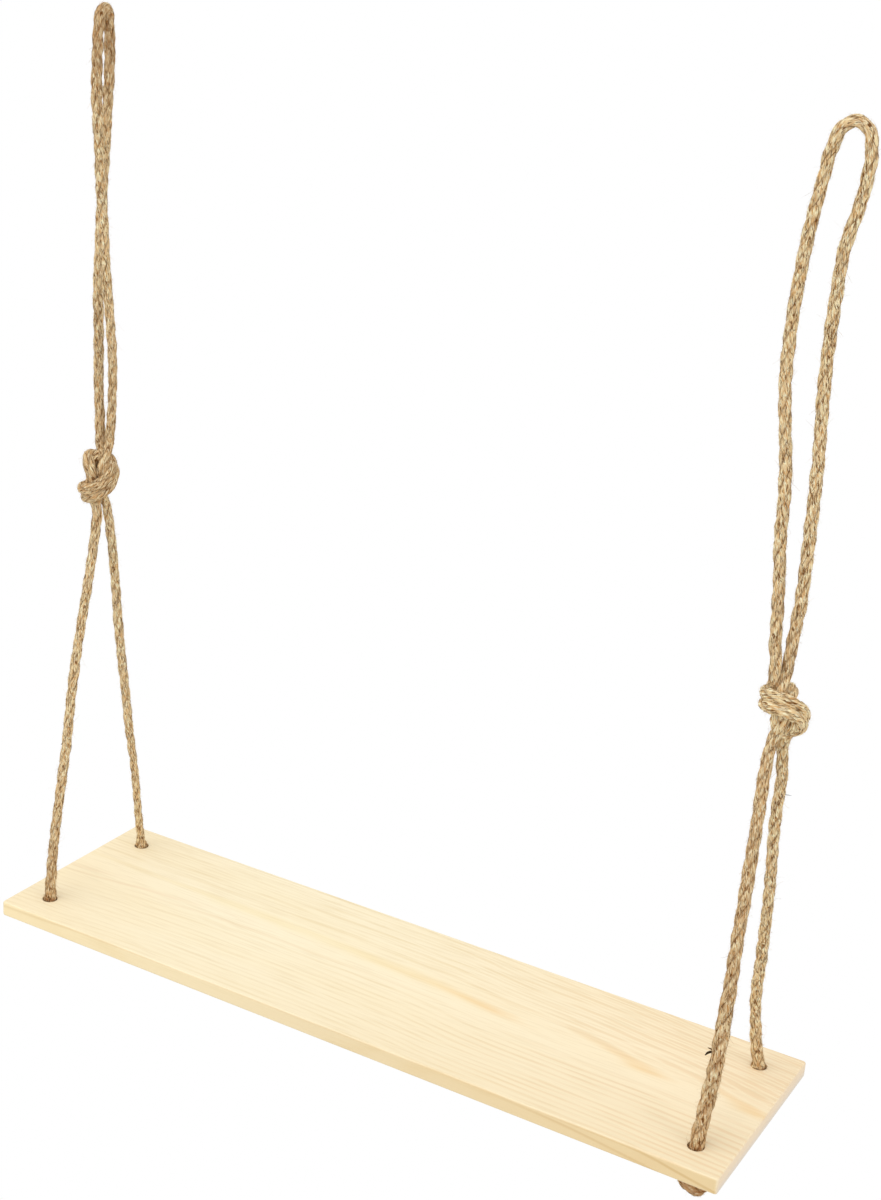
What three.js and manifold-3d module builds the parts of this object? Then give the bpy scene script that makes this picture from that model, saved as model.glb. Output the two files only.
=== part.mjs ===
// A hanging rope shelf: an eased pine board hung by a knotted jute rope at each end.
// Millimetres, +X along the board to the right, +Y to the back, +Z up. The origin is half way
// between the two points where the loops rest on their hooks.

import * as THREE from 'three';
import { mergeVertices } from 'three/addons/utils/BufferGeometryUtils.js';
import Module from 'manifold-3d';

const wasm = await Module();
wasm.setup();

// Board
const boardLength = 400;
const boardWidth = 110;
const boardThickness = 8;
const edgeRound = 1;

// The corners of its flat faces. The rounded edge runs outside them, so the outer corner is rounder.
const cornerRadius = 0.5;

// Holes for the ropes, one near each corner
const holeDiameter = 7.5;
const holeEndInset = 17.5;
const holeSideInset = 17;
const legDepthInHole = 2.5;

// Rope
const ropeDiameter = 5;
const touchGap = 0.3;
const endGap = 1.3;
const cutOverrun = 2;

// Heights above the board's top face
const leftKnotHeight = 221.5;
const rightKnotHeight = 194.5;
const hookLineHeight = 437.25;

// Facets
const ropeSides = 10;
const knotSides = 8;
const holeSides = 32;
const roundSteps = 3;
const ballSides = 32;

// The two sides of the shelf
const holeX = boardLength / 2 - holeEndInset;
const holeY = boardWidth / 2 - holeSideInset;
const ropeRadius = ropeDiameter / 2;

const pine = { color: 0xf3dfb8, roughness: 0.7, metalness: 0 };
const jute = { color: 0xb8935a, roughness: 0.95, metalness: 0 };
const juteKnot = { color: 0xab8650, roughness: 0.95, metalness: 0 };

// Main knot, in rope diameters: an overhand knot tied in the doubled rope. Each strand goes down the
// core, once round the outside on its way up, and down the core again.
const mainKnot = {
  coreShare: 0.5,
  wrapShare: 1.45,
  pairShare: 0.46,
  trimShare: 0.0625,
  steps: 28,
  ballShare: 3,
};

// Stopper knot, in rope diameters: the same knot in the single rope
const stopperKnot = {
  coreShare: 0.36,
  wrapShare: 1.0,
  pairShare: 0,
  trimShare: 0.0625,
  steps: 20,
  leanX: 0,
  leanY: 0,
};
const tailLength = 13;

// Each rope's loop is a list of points from the front of the main knot up, round the hook and down to
// its back, measured from the middle of the knot. A leg bows away from the straight line between its
// ends, by the offsets listed at their shares of its length.
const leftRope = {
  name: 'left',
  x: -holeX,
  knotHeight: leftKnotHeight,
  knot: { handed: 1, turn: -0.08, leanX: 15, leanY: 10, heightShare: 2.0, aside: [-1.1, -0.9, -1.1] },
  frontStopper: { turn: 0.62, heightShare: 0.9, aside: [1, 5], tailWay: 50 },
  backStopper: { turn: 0.6, heightShare: 1.05, aside: [0, 1], tailWay: 20 },
  loop: [
    [3.8, 1.0, 15.5],
    [5.0, 1.5, 27.5],
    [6.2, 1.0, 42.5],
    [6.7, 0.3, 58.5],
    [6.5, -0.7, 73.5],
    [5.7, -2.3, 90.5],
    [5.2, -4.0, 108.5],
    [4.7, -5.0, 125.5],
    [4.0, -6.0, 142.5],
    [3.3, -6.8, 160.5],
    [2.3, -7.4, 178.5],
    [2.0, -7.4, 193.5],
    [1.7, -7.0, 206.5],
    [1.3, -5.9, 215.5],
    [0.8, -3.6, 221.2],
    [0.0, 0.2, 223.5],
    [-0.9, 3.9, 221.4],
    [-1.6, 6.1, 215.9],
    [-2.2, 7.3, 206.5],
    [-2.7, 7.6, 191.5],
    [-3.4, 7.4, 176.5],
    [-4.2, 6.8, 159.5],
    [-4.9, 6.2, 144.5],
    [-5.4, 5.6, 128.5],
    [-5.7, 4.8, 112.5],
    [-5.6, 3.9, 96.5],
    [-5.0, 3.4, 80.5],
    [-4.2, 3.1, 64.5],
    [-3.6, 2.6, 48.5],
    [-2.7, 2.2, 32.5],
    [-1.6, 1.8, 15.5],
  ],
  front: {
    exit: [0.1, -3.0, -15.4],
    bows: [[0.1, 0.4, 0.7], [0.2, 0.2, 0.4], [0.32, -0.9, -0.5], [0.45, -1.3, -0.8], [0.58, -1.0, -0.6],
      [0.71, -1.1, -0.7], [0.85, -1.1, -0.8], [0.94, -0.6, -0.4]],
  },
  back: {
    exit: [0.2, 3.9, -15.4],
    bows: [[0.1, 0.4, 1.2], [0.2, 0.3, 1.2], [0.36, -0.3, 0.3], [0.5, 0, 0.4], [0.62, -0.1, 0.3],
      [0.75, 0.3, 0.5], [0.87, 0.1, 0.1]],
  },
};

const rightRope = {
  name: 'right',
  x: holeX,
  knotHeight: rightKnotHeight,
  knot: { handed: -1, turn: 0.24, leanX: -30, leanY: -25, heightShare: 1.65, aside: [0, 0, 0] },
  frontStopper: { turn: 0.4, heightShare: 1.05, aside: [1.5, 0], tailWay: 130 },
  backStopper: { turn: 0.85, heightShare: 1.05, aside: [-1, 0], tailWay: 160 },
  loop: [
    [-5.2, -1.5, 15.5],
    [-6.9, -0.5, 27.5],
    [-9.0, 0, 50.5],
    [-11.0, 0, 71.5],
    [-12.2, 0, 93.5],
    [-15.0, 0, 113.5],
    [-17.8, 0, 135.5],
    [-18.5, 0, 155.5],
    [-17.8, 0, 176.5],
    [-16.8, 0, 190.5],
    [-15.4, 0, 205.5],
    [-13.8, 0, 217.5],
    [-11.8, 0, 228.5],
    [-8.4, 0, 236.9],
    [-3.6, 0, 239.5],
    [1.2, 0, 237.0],
    [3.6, 0, 228.5],
    [3.6, 0, 217.5],
    [2.0, 0, 204.5],
    [-0.8, 0, 192.5],
    [-1.8, 0, 178.5],
    [-2.2, 0, 157.5],
    [-1.7, 0, 131.5],
    [-0.4, 0, 110.5],
    [0.6, 0, 87.5],
    [0.9, 0, 63.5],
    [0.9, 0.4, 45.5],
    [-0.3, 1.6, 30.5],
    [-1.9, 2.7, 15.5],
  ],
  front: {
    exit: [-2.2, -3.2, -15.3],
    bows: [[0.08, 0.1, -0.6], [0.17, 0.6, -0.4], [0.27, 1.1, -0.3], [0.37, 1.5, 0], [0.47, 1.6, 0.1],
      [0.57, 1.9, 0.2], [0.67, 2.0, 0.3], [0.78, 2.1, 0.4], [0.88, 1.1, 0.2], [0.95, 0.4, 0]],
  },
  back: {
    exit: [0.9, 2.7, -15.5],
    bows: [[0.1, 0.4, 1.0], [0.17, -0.1, 0.6], [0.27, -0.8, 0.3], [0.39, -0.9, 0.2], [0.51, -1.3, -0.1],
      [0.63, -2.0, -0.4], [0.76, -3.1, -1.0], [0.88, -2.1, -0.7], [0.95, -0.8, -0.2]],
  },
};

function toManifold(geometry) {
  const plain = geometry.clone();
  plain.deleteAttribute('normal');
  plain.deleteAttribute('uv');
  const merged = mergeVertices(plain);
  return new wasm.Manifold(new wasm.Mesh({
    numProp: 3,
    vertProperties: new Float32Array(merged.attributes.position.array),
    triVerts: new Uint32Array(merged.index.array),
  }));
}

// A solid as a mesh: its outer skin only, so that a pocket sealed inside a knot is filled
function toGeometry(manifold) {
  const skins = manifold.decompose().sort((one, other) => other.volume() - one.volume());
  const mesh = skins[0].getMesh();
  const indexed = new THREE.BufferGeometry();
  indexed.setAttribute('position', new THREE.BufferAttribute(mesh.vertProperties, mesh.numProp));
  indexed.setIndex(new THREE.BufferAttribute(mesh.triVerts, 1));
  const geometry = indexed.toNonIndexed();
  geometry.computeVertexNormals();
  return geometry;
}

function named(name, geometry, finish) {
  const mesh = new THREE.Mesh(geometry, new THREE.MeshStandardMaterial(finish));
  mesh.name = name;
  return mesh;
}

function vectors(points) {
  return points.map(([x, y, z]) => new THREE.Vector3(x, y, z));
}

function ropeSection(sides) {
  const corners = [];
  for (let side = 0; side < sides; side += 1) {
    const angle = 2 * Math.PI * side / sides;
    corners.push(new THREE.Vector2(ropeRadius * Math.cos(angle), ropeRadius * Math.sin(angle)));
  }
  return new THREE.Shape(corners);
}

// A tube of the rope's diameter along a smooth route
function ropeTube(points, steps, sides) {
  return new THREE.ExtrudeGeometry(ropeSection(sides), {
    steps,
    bevelEnabled: false,
    extrudePath: new THREE.CatmullRomCurve3(points, false, 'centripetal'),
  });
}

function makeBoard() {
  const outline = new THREE.Shape();
  const halfLength = boardLength / 2 - edgeRound;
  const halfWidth = boardWidth / 2 - edgeRound;
  outline.moveTo(-halfLength + cornerRadius, -halfWidth);
  outline.lineTo(halfLength - cornerRadius, -halfWidth);
  outline.absarc(halfLength - cornerRadius, -halfWidth + cornerRadius, cornerRadius, -Math.PI / 2, 0);
  outline.lineTo(halfLength, halfWidth - cornerRadius);
  outline.absarc(halfLength - cornerRadius, halfWidth - cornerRadius, cornerRadius, 0, Math.PI / 2);
  outline.lineTo(-halfLength + cornerRadius, halfWidth);
  outline.absarc(-halfLength + cornerRadius, halfWidth - cornerRadius, cornerRadius, Math.PI / 2, Math.PI);
  outline.lineTo(-halfLength, -halfWidth + cornerRadius);
  outline.absarc(-halfLength + cornerRadius, -halfWidth + cornerRadius, cornerRadius, Math.PI, 1.5 * Math.PI);
  const slab = new THREE.ExtrudeGeometry(outline, {
    depth: boardThickness - 2 * edgeRound,
    bevelThickness: edgeRound,
    bevelSize: edgeRound,
    bevelSegments: roundSteps,
    curveSegments: roundSteps,
  });
  slab.translate(0, 0, edgeRound - boardThickness);
  let board = toManifold(slab);
  for (const x of [-holeX, holeX]) {
    for (const y of [-holeY, holeY]) {
      const drill = new THREE.CylinderGeometry(
        holeDiameter / 2, holeDiameter / 2, boardThickness + 2 * cutOverrun, holeSides);
      drill.rotateX(Math.PI / 2);
      drill.translate(x, y, -boardThickness / 2);
      board = board.subtract(toManifold(drill));
    }
  }
  return toGeometry(board);
}

// The points of one strand of an overhand knot about the Z axis, down the core, up round the outside
// and down again, in two turns. strand is -1 or 1 for the strands of a doubled rope, 0 for a single one.
function knotPoints(knot, strand) {
  const mid = (knot.wrapShare + knot.coreShare) / 2;
  const reach = (knot.wrapShare - knot.coreShare) / 2;
  const place = (t) => {
    const way = t < 0.25 ? 4 * t : t < 0.75 ? 2 * t + 0.5 : 4 * t - 1;
    const roll = Math.PI * (way - 0.5);
    const angle = knot.handed * 2 * Math.PI * (2 * t + knot.turn);
    const radius = mid - reach * Math.cos(roll);
    return {
      point: new THREE.Vector3(
        radius * Math.cos(angle), radius * Math.sin(angle), -knot.heightShare * Math.sin(roll)),
      outward: new THREE.Vector3(
        -Math.cos(roll) * Math.cos(angle) / reach,
        -Math.cos(roll) * Math.sin(angle) / reach,
        -Math.sin(roll) / knot.heightShare).normalize(),
    };
  };
  const lean = new THREE.Euler(
    THREE.MathUtils.degToRad(knot.leanX), THREE.MathUtils.degToRad(knot.leanY), 0);
  const points = [];
  for (let step = 0; step <= knot.steps; step += 1) {
    const t = knot.trimShare + (1 - 2 * knot.trimShare) * step / knot.steps;
    const here = place(t);
    const ahead = place(t + 0.5 / knot.steps).point;
    const behind = place(t - 0.5 / knot.steps).point;
    const along = ahead.sub(behind).normalize();
    const aside = along.cross(here.outward).multiplyScalar(strand * knot.pairShare);
    points.push(here.point.add(aside).multiplyScalar(ropeDiameter).applyEuler(lean));
  }
  return points;
}

// One solid from a strand that touches itself in a knot: the tube is made in runs that meet face to
// face, and the runs are joined
function knottedStrand(points, runs, stepsInRun) {
  const route = new THREE.CatmullRomCurve3(points, false, 'centripetal');
  const places = route.getSpacedPoints(runs * stepsInRun);
  const frames = route.computeFrenetFrames(runs * stepsInRun, false);
  let strand = null;
  for (let run = 0; run < runs; run += 1) {
    const share = (list) => list.slice(run * stepsInRun, (run + 1) * stepsInRun + 1);
    const runRoute = {
      getSpacedPoints: () => share(places),
      computeFrenetFrames: () => ({
        tangents: share(frames.tangents),
        normals: share(frames.normals),
        binormals: share(frames.binormals),
      }),
    };
    const tube = toManifold(new THREE.ExtrudeGeometry(ropeSection(knotSides), {
      steps: stepsInRun,
      bevelEnabled: false,
      extrudePath: runRoute,
    }));
    strand = strand ? strand.add(tube) : tube;
  }
  return strand;
}

function legEnd(rope, side) {
  return new THREE.Vector3(rope.x, side * holeY, -legDepthInHole);
}

// A leg's points, from the main knot down into its hole
function legPoints(rope, leg, side) {
  const start = new THREE.Vector3(...leg.exit).add(new THREE.Vector3(rope.x, 0, rope.knotHeight));
  const end = legEnd(rope, side);
  const points = [start];
  for (const [share, bowX, bowY] of leg.bows) {
    const point = start.clone().lerp(end, share);
    points.push(point.add(new THREE.Vector3(bowX, bowY, 0)));
  }
  points.push(end);
  return points;
}

function makeLeg(rope, leg, side) {
  return ropeTube(legPoints(rope, leg, side), 18, ropeSides);
}

function makeLoop(rope) {
  const loop = ropeTube(vectors(rope.loop), 80, ropeSides);
  loop.translate(rope.x, 0, rope.knotHeight);
  return loop;
}

function makeMainKnot(rope) {
  const centre = new THREE.Vector3(rope.x, 0, rope.knotHeight);
  const loop = vectors(rope.loop);
  const ends = [
    { strand: -1, above: [loop[1], loop[0]], below: legPoints(rope, rope.front, -1) },
    { strand: 1, above: [loop.at(-2), loop.at(-1)], below: legPoints(rope, rope.back, 1) },
  ];
  const aside = new THREE.Vector3(...rope.knot.aside);
  let knot = null;
  for (const end of ends) {
    const points = [
      ...end.above,
      ...knotPoints({ ...mainKnot, ...rope.knot }, end.strand).map((point) => point.add(aside)),
      ...end.below.slice(0, 2).map((point) => point.sub(centre)),
    ];
    const strand = knottedStrand(points, 4, 11);
    knot = knot ? knot.add(strand) : strand;
  }
  const ball = new THREE.SphereGeometry(mainKnot.ballShare * ropeDiameter, ballSides, ballSides / 2);
  const geometry = toGeometry(knot.intersect(toManifold(ball)));
  geometry.translate(centre.x, centre.y, centre.z);
  return geometry;
}

// The stopper sits under the board, a little aside from its hole, with its rope's end cut short
function makeStopperKnot(rope, stopper, side) {
  const half = (stopper.heightShare + 0.5) * ropeDiameter;
  const [asideX, asideY] = stopper.aside;
  const knot = { ...stopperKnot, ...stopper, handed: rope.knot.handed };
  const toHole = new THREE.Vector3(-asideX, -asideY, half + touchGap);
  const stubTop = boardThickness - legDepthInHole - endGap;
  const tail = new THREE.Vector3(1, 0, 0)
    .applyAxisAngle(new THREE.Vector3(0, 0, 1), THREE.MathUtils.degToRad(stopper.tailWay));
  const tailShares = [0.3, 0.65, 1];
  const points = [
    ...[1, 0.6, 0.2].map((share) => toHole.clone().add(new THREE.Vector3(0, 0, share * stubTop))),
    ...knotPoints(knot, 0),
    ...tailShares.map((share) => tail.clone().multiplyScalar(share * tailLength).setZ(ropeRadius - half)),
  ];
  const geometry = toGeometry(knottedStrand(points, 4, 8));
  geometry.translate(rope.x + asideX, side * holeY + asideY, -boardThickness - touchGap - half);
  return geometry;
}

const group = new THREE.Group();
const shelf = new THREE.Group();
shelf.position.z = -hookLineHeight;
group.add(shelf);

shelf.add(named('board', makeBoard(), pine));
for (const rope of [leftRope, rightRope]) {
  shelf.add(named(`${rope.name}_loop`, makeLoop(rope), jute));
  shelf.add(named(`${rope.name}_main_knot`, makeMainKnot(rope), juteKnot));
  shelf.add(named(`${rope.name}_front_leg`, makeLeg(rope, rope.front, -1), jute));
  shelf.add(named(`${rope.name}_back_leg`, makeLeg(rope, rope.back, 1), jute));
  shelf.add(named(`${rope.name}_front_stopper`, makeStopperKnot(rope, rope.frontStopper, -1), juteKnot));
  shelf.add(named(`${rope.name}_back_stopper`, makeStopperKnot(rope, rope.backStopper, 1), juteKnot));
}

export default group;
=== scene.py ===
"""A hanging rope shelf: a sanded pine board on two knotted jute ropes.

Lengths are millimetres. Heights in the tables start from the board's top face, as in the CAD source.
In the frame +X runs along the board, +Y to the wall and +Z up, from the line between the two hooks.
"""

import math

import bmesh
import bpy
import numpy as np
from mathutils import Matrix, Vector


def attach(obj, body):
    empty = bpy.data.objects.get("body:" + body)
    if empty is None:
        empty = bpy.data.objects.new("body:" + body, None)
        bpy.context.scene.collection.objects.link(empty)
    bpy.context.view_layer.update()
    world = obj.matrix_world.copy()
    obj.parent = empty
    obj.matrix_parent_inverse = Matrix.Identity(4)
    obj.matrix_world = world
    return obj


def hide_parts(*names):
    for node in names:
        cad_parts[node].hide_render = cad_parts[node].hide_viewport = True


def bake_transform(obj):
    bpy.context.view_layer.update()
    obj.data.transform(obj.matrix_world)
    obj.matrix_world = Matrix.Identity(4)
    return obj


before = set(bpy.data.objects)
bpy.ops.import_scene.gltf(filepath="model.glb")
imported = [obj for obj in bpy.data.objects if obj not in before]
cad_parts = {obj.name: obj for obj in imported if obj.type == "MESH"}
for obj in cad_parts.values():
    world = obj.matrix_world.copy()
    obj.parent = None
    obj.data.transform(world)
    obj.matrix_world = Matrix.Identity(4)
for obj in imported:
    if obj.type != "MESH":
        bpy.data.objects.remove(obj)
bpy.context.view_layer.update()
MM = 0.001

# Sizes shared with the CAD source
BOARD_LENGTH, BOARD_WIDTH, BOARD_THICKNESS = 400.0, 110.0, 8.0
EDGE_ROUND, FACE_CORNER = 1.0, 0.5
CORNER_RADIUS = FACE_CORNER + EDGE_ROUND
HOLE_DIAMETER, HOLE_END_INSET, HOLE_SIDE_INSET = 7.5, 17.5, 17.0
HOLE_X, HOLE_Y = BOARD_LENGTH / 2 - HOLE_END_INSET, BOARD_WIDTH / 2 - HOLE_SIDE_INSET
LEG_DEPTH = 2.5
HOOK_LINE = 437.25
ROPE_DIAMETER = 5.0
ROPE_RADIUS = ROPE_DIAMETER / 2
TOUCH_GAP, END_GAP = 0.3, 1.3
TAIL_LENGTH = 13.0

# Main and stopper knots, in rope diameters, with the share of the knot that is left off at its ends
MAIN_KNOT = {"core": 0.5, "wrap": 1.56, "pair": 0.46, "trim": 0.0625, "steps": 28}
STOPPER_KNOT = {"core": 0.36, "wrap": 1.0, "pair": 0.0, "trim": 0.0625, "steps": 20, "lean": (0, 0)}

# The routes: each loop from the front of its knot up, round the hook and down to its back, measured
# from the middle of the knot, and the bows of each leg off its straight line. Girth is the rope's
# thickness over its nominal one, and brown its darkening, or below 0 its bleaching, evenly spaced
# along each part; the darkening is partly the rope's own browning and partly painted shade, as at the
# top of the left loop. Strays are single fibres: part, tone, thickness and points from the board's top.
# Leg reach is how much of the knot's own rope moves with the legs, for legs that can't bend at it.
LEFT_ROPE = {
    "name": "left",
    "leg_reach": 0.0,
    "x": -HOLE_X,
    "knot_height": 221.5,
    "knot": {"handed": 1, "turn": -0.08, "lean": (15, 10), "height": 2.0, "aside": (-1.1, -0.9, -1.1)},
    "front_stopper": {"turn": 0.62, "height": 0.9, "aside": (1, 5), "tail_way": 50},
    "back_stopper": {"turn": 0.6, "height": 1.05, "aside": (0, 1), "tail_way": 20},
    "loop": [
        (3.8, 1.0, 15.5), (4.8, 1.5, 27.5), (5.9, 1.0, 42.5), (6.4, 0.3, 58.5), (6.1, -0.7, 73.5),
        (5.3, -2.3, 90.5), (4.6, -4.0, 108.5), (4.4, -5.0, 125.5), (3.5, -6.0, 142.5),
        (3.1, -6.8, 160.5), (2.0, -7.4, 178.5), (1.6, -7.4, 193.5), (0.9, -6.2, 206.5),
        (0.5, -5.2, 216.0), (0.1, -3.4, 222.0), (-0.2, 0.2, 224.4), (-1.1, 3.6, 222.2),
        (-1.8, 5.3, 215.9), (-2.3, 6.5, 206.5), (-3.5, 7.6, 191.5), (-4.2, 7.4, 176.5),
        (-4.8, 6.8, 159.5), (-5.5, 6.2, 144.5), (-5.8, 5.6, 128.5), (-6.0, 4.8, 112.5),
        (-6.1, 3.9, 96.5), (-5.1, 3.4, 80.5), (-4.6, 3.1, 64.5), (-4.1, 2.6, 48.5),
        (-2.9, 2.2, 32.5), (-1.6, 1.8, 15.5),
    ],
    "front_exit": (0.1, -3.0, -15.4),
    "front_bows": [(0.1, 0.2, 0.7), (0.2, -0.4, 0.4), (0.32, -1.1, -0.5), (0.45, -1.5, -0.8),
                   (0.58, -1.0, -0.6), (0.71, -1.3, -0.7), (0.85, -1.4, -0.8), (0.94, -0.8, -0.4)],
    "back_exit": (0.2, 3.9, -15.4),
    "back_bows": [(0.1, 0.1, 1.2), (0.2, -0.1, 1.2), (0.36, -0.4, 0.3), (0.5, -0.3, 0.4),
                  (0.62, -0.3, 0.3), (0.75, 0.4, 0.5), (0.87, 0.2, 0.1)],
    "girth": {
        "front_stopper": (1.0, 1.05), "front_leg": (1.14, 0.96, 0.93, 0.94, 0.95, 0.91, 0.88, 0.95),
        "front_knot": (1.14, 1.15),
        "loop": (0.87, 0.86, 0.95, 0.96, 0.96, 0.95, 0.94, 1.0, 0.96, 0.94, 0.95),
        "back_knot": (1.15, 1.14), "back_leg": (0.88, 0.87, 0.91, 0.88, 0.88, 0.77, 0.77, 0.86),
    },
    "brown": {
        "front_stopper": (0.4, 0.5), "front_leg": (0.6, 0.1, 0, 0, 0.1), "front_knot": (0.35, 0.35),
        # The darkening at the loop's top, over the hook, is painted shade
        "loop": (0.4, 0.25, 0, 0, 0.1, 0.7, 0.7, 0.1, 0, 0, 0.1, 0.3), "back_knot": (0.35, 0.35),
        "back_leg": (-0.3, -0.4, -0.3, 0.2), "back_stopper": (0.3, 0.3),
    },
    "strays": [
        ("front_leg", -0.7, 0.4, [(-183.8, -24.6, 83.3), (-184.7, -25.4, 83.3), (-185.6, -26.1, 83.0)]),
    ],
}
RIGHT_ROPE = {
    "name": "right",
    "leg_reach": 5.0,
    "x": HOLE_X,
    "knot_height": 194.5,
    "knot": {"handed": -1, "turn": 0.24, "lean": (-30, -25), "height": 1.65, "aside": (0, 0, 0)},
    "front_stopper": {"turn": 0.4, "height": 0.88, "aside": (1.3, 0), "tail_way": 130},
    "back_stopper": {"turn": 0.85, "height": 1.05, "aside": (-1, 0), "tail_way": 160},
    "loop": [
        (-5.3, -1.5, 15.5), (-7.4, -0.5, 27.5), (-9.2, 0, 50.5), (-11.4, 0, 71.5), (-12.4, 0, 93.5),
        (-15.0, 0, 113.5), (-18.1, 0, 135.5), (-18.7, 0, 155.5), (-18.0, 0, 176.5),
        (-17.1, 0, 190.5), (-15.3, 0, 205.5), (-13.6, 0, 217.5), (-11.9, 0, 228.5),
        (-8.6, 0, 236.9), (-3.6, 0, 239.5), (1.5, 0, 237.0), (3.8, 0, 228.5), (3.4, 0, 217.5),
        (1.3, 0, 204.5), (-1.5, 0, 192.5), (-2.1, 0, 178.5), (-2.5, 0, 157.5), (-1.8, 0, 131.5),
        (-0.3, 0, 110.5), (0.4, 0, 87.5), (0.8, 0, 63.5), (0.6, 0.4, 45.5), (-0.7, 1.6, 30.5),
        (-1.9, 2.7, 15.5),
    ],
    "front_exit": (-2.2, -3.2, -15.3),
    "front_bows": [(0.08, -0.4, -0.6), (0.17, 0.2, -0.4), (0.27, 0.6, -0.3), (0.37, 1.0, 0),
                   (0.47, 1.1, 0.1), (0.57, 1.7, 0.2), (0.67, 1.9, 0.3), (0.78, 2.0, 0.4),
                   (0.88, 1.0, 0.2), (0.95, 0.3, 0)],
    "back_exit": (0.9, 2.7, -15.5),
    "back_bows": [(0.1, 0.1, 1.0), (0.17, -0.7, 0.6), (0.27, -1.3, 0.3), (0.39, -1.2, 0.2),
                  (0.51, -1.7, -0.1), (0.63, -2.4, -0.4), (0.76, -3.4, -1.0), (0.88, -2.4, -0.7),
                  (0.95, -1.0, -0.2)],
    "girth": {
        "front_stopper": (1.22, 1.22), "front_leg": (1.22, 1.3, 1.28, 1.13, 1.11, 1.05, 1.07, 1.0),
        "front_knot": (1.08, 1.08), "loop": (0.99, 1.0, 0.99, 0.98, 1.01, 0.98),
        "back_knot": (1.08, 1.08), "back_leg": (0.97, 0.98, 0.96, 0.98, 1.0, 1.1),
    },
    "brown": {
        "front_stopper": (1, 0.9), "front_leg": (0.55, 0.5, 0.45, 0.4, 0.3), "front_knot": (-0.3, -0.2),
        "loop": (0.2, -0.1, -0.1, 0, 0, 0, 0, 0.3), "back_knot": (-0.2, -0.3),
        "back_leg": (-0.3, -0.4, -0.4, -0.2, 0.4), "back_stopper": (0.5, 0.5),
    },
    "strays": [
        ("front_leg", -0.8, 0.36, [(182.7, -28.9, 43.6), (181.0, -29.4, 43.8), (179.2, -29.9, 44.2)]),
        ("front_leg", -1, 0.6, [(182.4, -29.1, 43.0), (180.9, -29.6, 42.6), (179.6, -30.2, 41.9),
                                (178.7, -30.6, 40.6)]),
        ("back_leg", 3, 0.17, [(184.4, 8.6, 152.0), (186.2, 9.1, 152.1), (188.1, 9.7, 152.1)]),
        ("main_knot", 0.3, 0.3, [(179.7, -0.9, 191.1), (178.6, -1.3, 190.5), (177.8, -1.5, 189.2),
                                 (177.9, -1.5, 187.9), (178.8, -1.2, 187.3), (180.1, -0.8, 188.0)]),
    ],
}

# The rope's make: three soft strands laid right-handed, each of several yarns twisted the other way
LAY = 30.0
STRANDS = 3
STRAND_RADIUS = 1.84
STRAND_OFFSET = 0.80
YARNS = 9
YARN_TWIST = 0.38
YARN_RELIEF = 0.26
MEAN_LOBE = 0.64

# The angle round a strand at which it meets the next one, as three strands stand 120 degrees apart
HALF_CHORD = math.sin(math.radians(60))
MEETING_SIDE = math.sqrt(STRAND_RADIUS ** 2 - (HALF_CHORD * STRAND_OFFSET) ** 2) + STRAND_OFFSET / 2
SEAM = math.atan2(MEETING_SIDE * HALF_CHORD, MEETING_SIDE / 2 - STRAND_OFFSET)

# The mesh: the way between two rings of points, the points round each strand, and how many steps
# either way, and with what spread, a sharp turn is let out over
STEP = 0.6
ARC_POINTS = 24
EASE_REACH, EASE_SPREAD = 8, 3.0

# How uneven the rope is: each value's strength, and the length along the rope over which it changes
YARN_SWAY, SWAY_CELL = 1.3, 5.0
LUMP, LUMP_WIDTH, LUMP_CELL = 0.13, 1.2, 6.0
FINE, FINE_WIDTH, FINE_CELL = 0.07, 0.5, 4.0
WANDER, WANDER_CELL = 0.30, 24.0
STRAND_SWELL, STRAND_CELL = 0.06, 8.0
ROPE_SWELL, ROPE_CELL = 0.05, 17.0
STRANDS_APART = 40.0

# At a hole's mouth the rope spreads, and is darkened there as painted shade of the hole, over these
# reaches
HOLE_GIRTH, SPREAD_REACH = 1.28, 3.2
HOLE_MOUTH_SHADE, MOUTH_SHADE_REACH = 0.7, 0.9

# The lengths by which a piece of rope runs on, a little thinner, inside a knot or a hole
TUCK, HOLE_TUCK = 8.0, 3.0
TUCK_THINNING, TUCK_FADE = 0.07, 1.5
CUT_END_ROUND = 0.4


# Camera, solved from the board's corners, edges and holes in the photo

CAMERA_RIGHT = Vector((0.86330, 0.50001, 0.06860))
CAMERA_DOWN = Vector((0.22442, -0.25858, -0.93956))
CAMERA_FORWARD = Vector((-0.45205, 0.82651, -0.33545))
CAMERA_PLACE = Vector((407.85, -717.23, 493.79 - HOOK_LINE))
CAMERA_LENS, SENSOR_WIDTH = 77.78, 36.0


def add_camera():
    data = bpy.data.cameras.new("photo_camera")
    camera = bpy.data.objects.new("photo_camera", data)
    bpy.context.scene.collection.objects.link(camera)
    rotation = Matrix((CAMERA_RIGHT, -CAMERA_DOWN, -CAMERA_FORWARD)).transposed().to_4x4()
    camera.matrix_world = Matrix.Translation(CAMERA_PLACE * MM) @ rotation
    data.sensor_fit = "HORIZONTAL"
    data.sensor_width = SENSOR_WIDTH
    data.lens = CAMERA_LENS
    bpy.context.scene.camera = camera


add_camera()


# Routes

def unit(vectors):
    """The vectors at length 1."""
    return vectors / (np.linalg.norm(vectors, axis=-1, keepdims=True) + 1e-9)


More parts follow.
